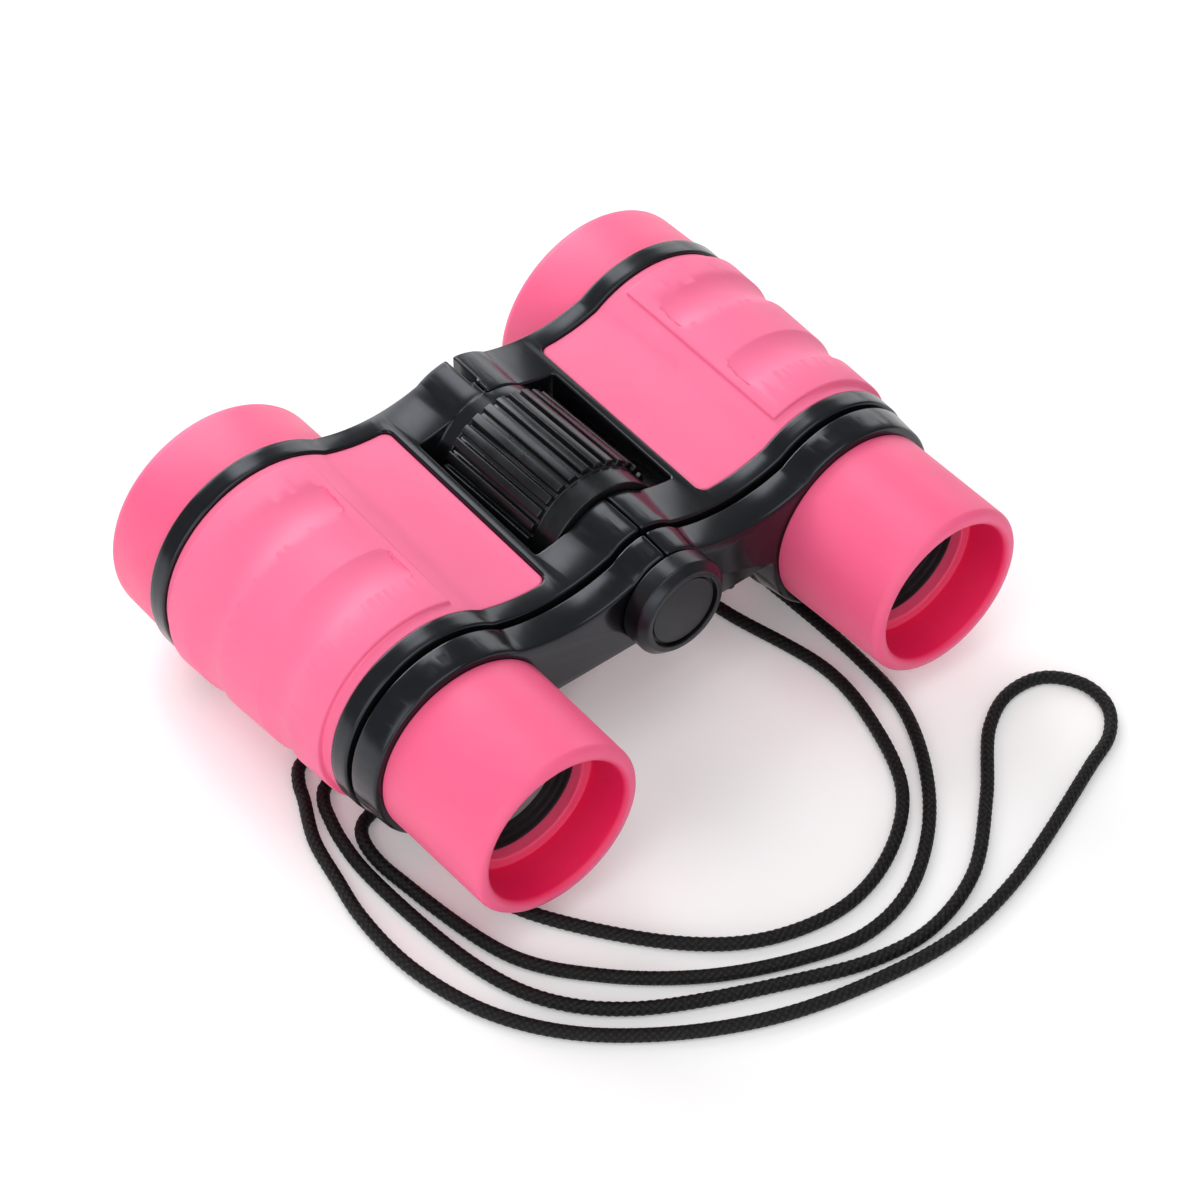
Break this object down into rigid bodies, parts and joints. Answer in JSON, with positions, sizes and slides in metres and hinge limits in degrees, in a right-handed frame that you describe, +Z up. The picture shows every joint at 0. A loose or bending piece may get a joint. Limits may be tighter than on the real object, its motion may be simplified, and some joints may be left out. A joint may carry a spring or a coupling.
{
  "type": "toy binoculars",
  "caption": "Toy folding binoculars with soft-grip barrels, a ribbed focus wheel on the hinge, eyecups on a sliding bridge and a thin neck cord.",
  "frame": {"origin": "on the surface that the binoculars lie on, under the middle of the body without its cord", "axes": "+X from the left barrel to the right one, +Y from the eyecups to the objectives, +Z up"},
  "size_m": [0.1201, 0.1277, 0.04],
  "materials": {
    "body_black": "gloss moulded",
    "trim_black": "satin moulded",
    "grip_pink": "soft matte",
    "rim_pink": "soft matte",
    "lens_glass": "clear",
    "steel": "turned",
    "nut_brass": "turned",
    "cord_black": "braided"
  },
  "bodies": {
    "left_half": {"left_frame": "body_black", "left_grip": "grip_pink", "left_objective_hood": "rim_pink", "left_objective_lens": "lens_glass", "left_objective_ring": "trim_black", "pivot_tube": "steel", "hinge_pin": "steel", "strap_cord": "cord_black", "left_strap_knot": "cord_black"},
    "right_half": {"right_frame": "body_black", "right_grip": "grip_pink", "right_objective_hood": "rim_pink", "right_objective_lens": "lens_glass", "right_objective_ring": "trim_black", "right_strap_knot": "cord_black"},
    "focus_wheel": {"focus_wheel": "trim_black", "focus_nut": "nut_brass"},
    "left_carriage": {"left_arm": "body_black", "left_draw_tube": "trim_black", "left_eyecup": "rim_pink", "left_eye_lens": "lens_glass", "left_eye_ring": "trim_black", "focus_spindle": "steel", "hinge_cap": "body_black", "cap_inlay": "trim_black"},
    "right_carriage": {"right_arm": "body_black", "right_draw_tube": "trim_black", "right_eyecup": "rim_pink", "right_eye_lens": "lens_glass", "right_eye_ring": "trim_black"}
  },
  "joints": [
    {"name": "fold", "type": "hinge", "parent": "left_half", "child": "right_half", "pos_m": [0, 0, 0.0268], "axis": [0, 1, 0], "range_deg": [0, 50], "deforming": ["strap_cord"]},
    {"name": "focus_turn", "type": "hinge", "parent": "left_half", "child": "focus_wheel", "pos_m": [0, 0, 0.0268], "axis": [0, 1, 0], "range_deg": [0, 450]},
    {"name": "left_slide", "type": "slide", "parent": "left_half", "child": "left_carriage", "axis": [0, -1, 0], "range_m": [0, 0.005]},
    {"name": "right_slide", "type": "slide", "parent": "right_half", "child": "right_carriage", "axis": [0, -1, 0], "range_m": [0, 0.005]}
  ],
  "couplings": [
    {"joint": "focus_turn", "follows": "left_slide", "rad_per_m": 1570.8},
    {"joint": "right_slide", "follows": "left_slide", "ratio": 1}
  ]
}
